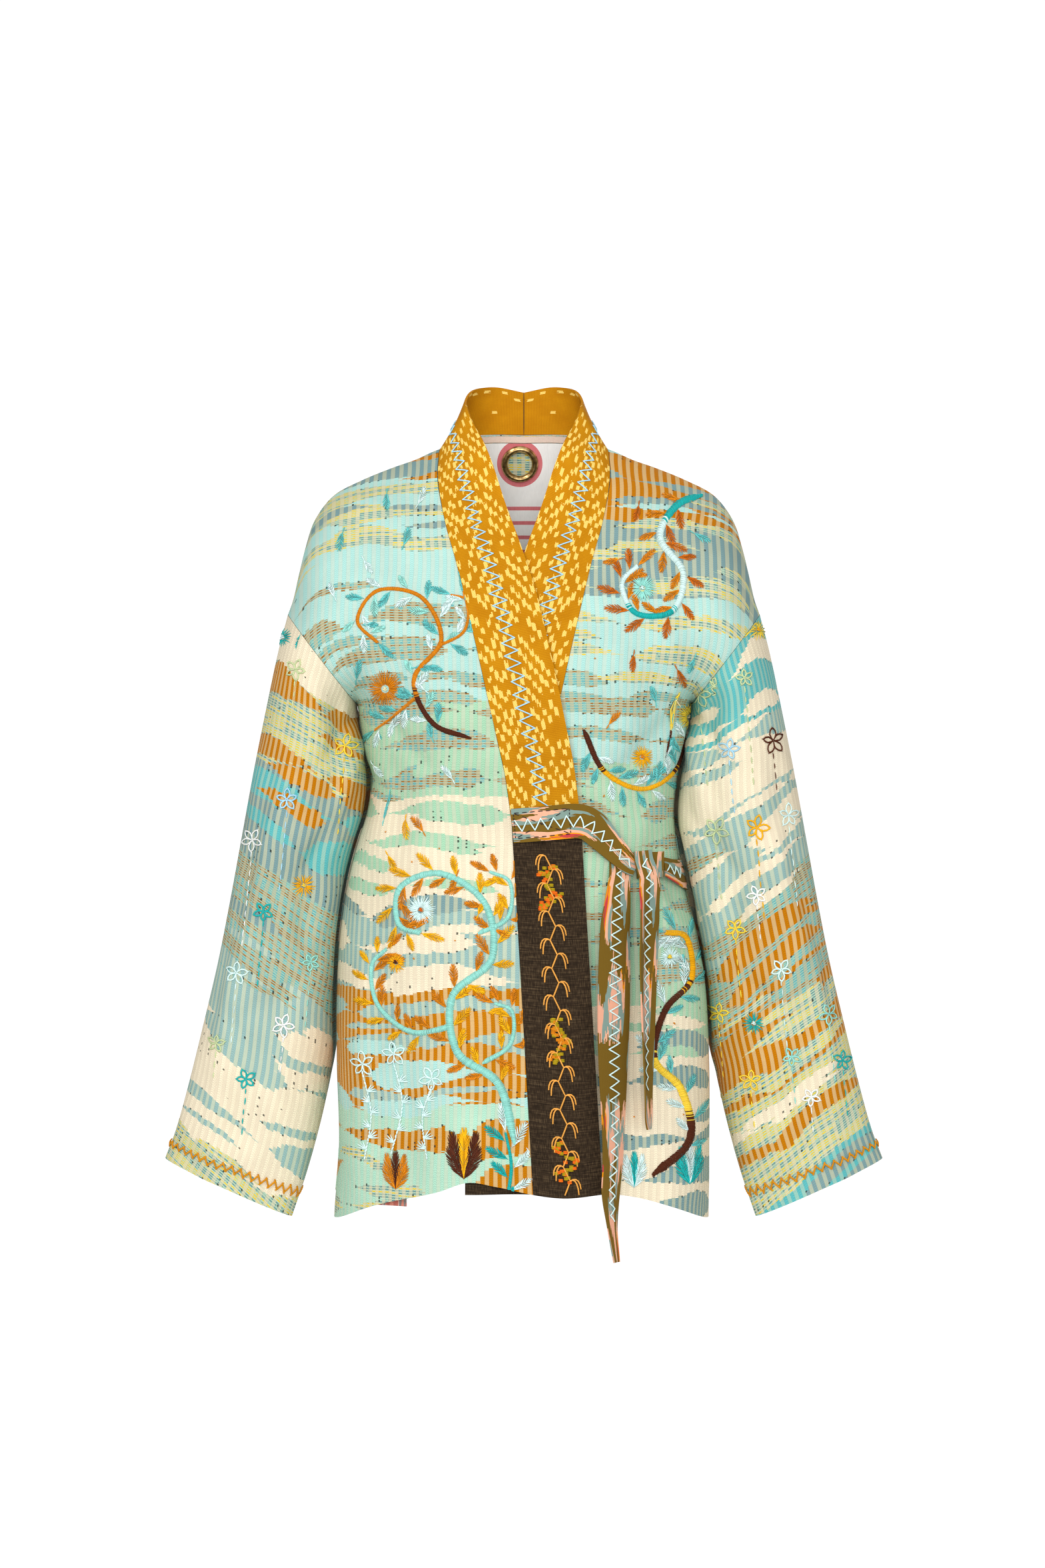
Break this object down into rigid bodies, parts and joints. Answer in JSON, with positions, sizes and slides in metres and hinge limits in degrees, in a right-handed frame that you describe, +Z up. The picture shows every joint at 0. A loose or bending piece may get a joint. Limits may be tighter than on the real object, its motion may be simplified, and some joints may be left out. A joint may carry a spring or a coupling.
{
  "type": "cotton wrap jacket",
  "caption": "Wrap jacket of striped cotton with long sleeves, a crossed collar, contrast bands and ties at the waist, filled out as worn with open neck, hem and cuffs.",
  "frame": {"origin": "middle of the neck at shoulder level, where the wearer carries the jacket", "axes": "+Z up, the front faces -Y, +X is the wearer's left"},
  "size_m": [0.644, 0.2577, 0.7779],
  "materials": {
    "striped_cotton": "matte woven",
    "striped_cotton_sleeve": "matte woven",
    "mustard_ikat": "matte woven",
    "dark_linen": "matte woven",
    "olive_ikat": "matte woven",
    "pink_ikat": "matte woven",
    "white_cotton": "matte woven",
    "antique_brass": "aged, satin"
  },
  "bodies": {
    "root": {"back": "striped_cotton", "front_right": "striped_cotton", "front_left": "striped_cotton", "sleeve_right": "striped_cotton_sleeve", "sleeve_left": "striped_cotton_sleeve", "collar_right": "mustard_ikat", "collar_left": "mustard_ikat", "band_right": "dark_linen", "band_left": "dark_linen", "tie_front": "olive_ikat", "tie_front_tail": "olive_ikat", "tie_side": "olive_ikat", "tie_side_tail": "olive_ikat", "tie_knot": "olive_ikat", "inner_tie": "pink_ikat", "neck_tape": "white_cotton", "neck_panel": "white_cotton", "eyelet": "antique_brass"}
  },
  "joints": []
}
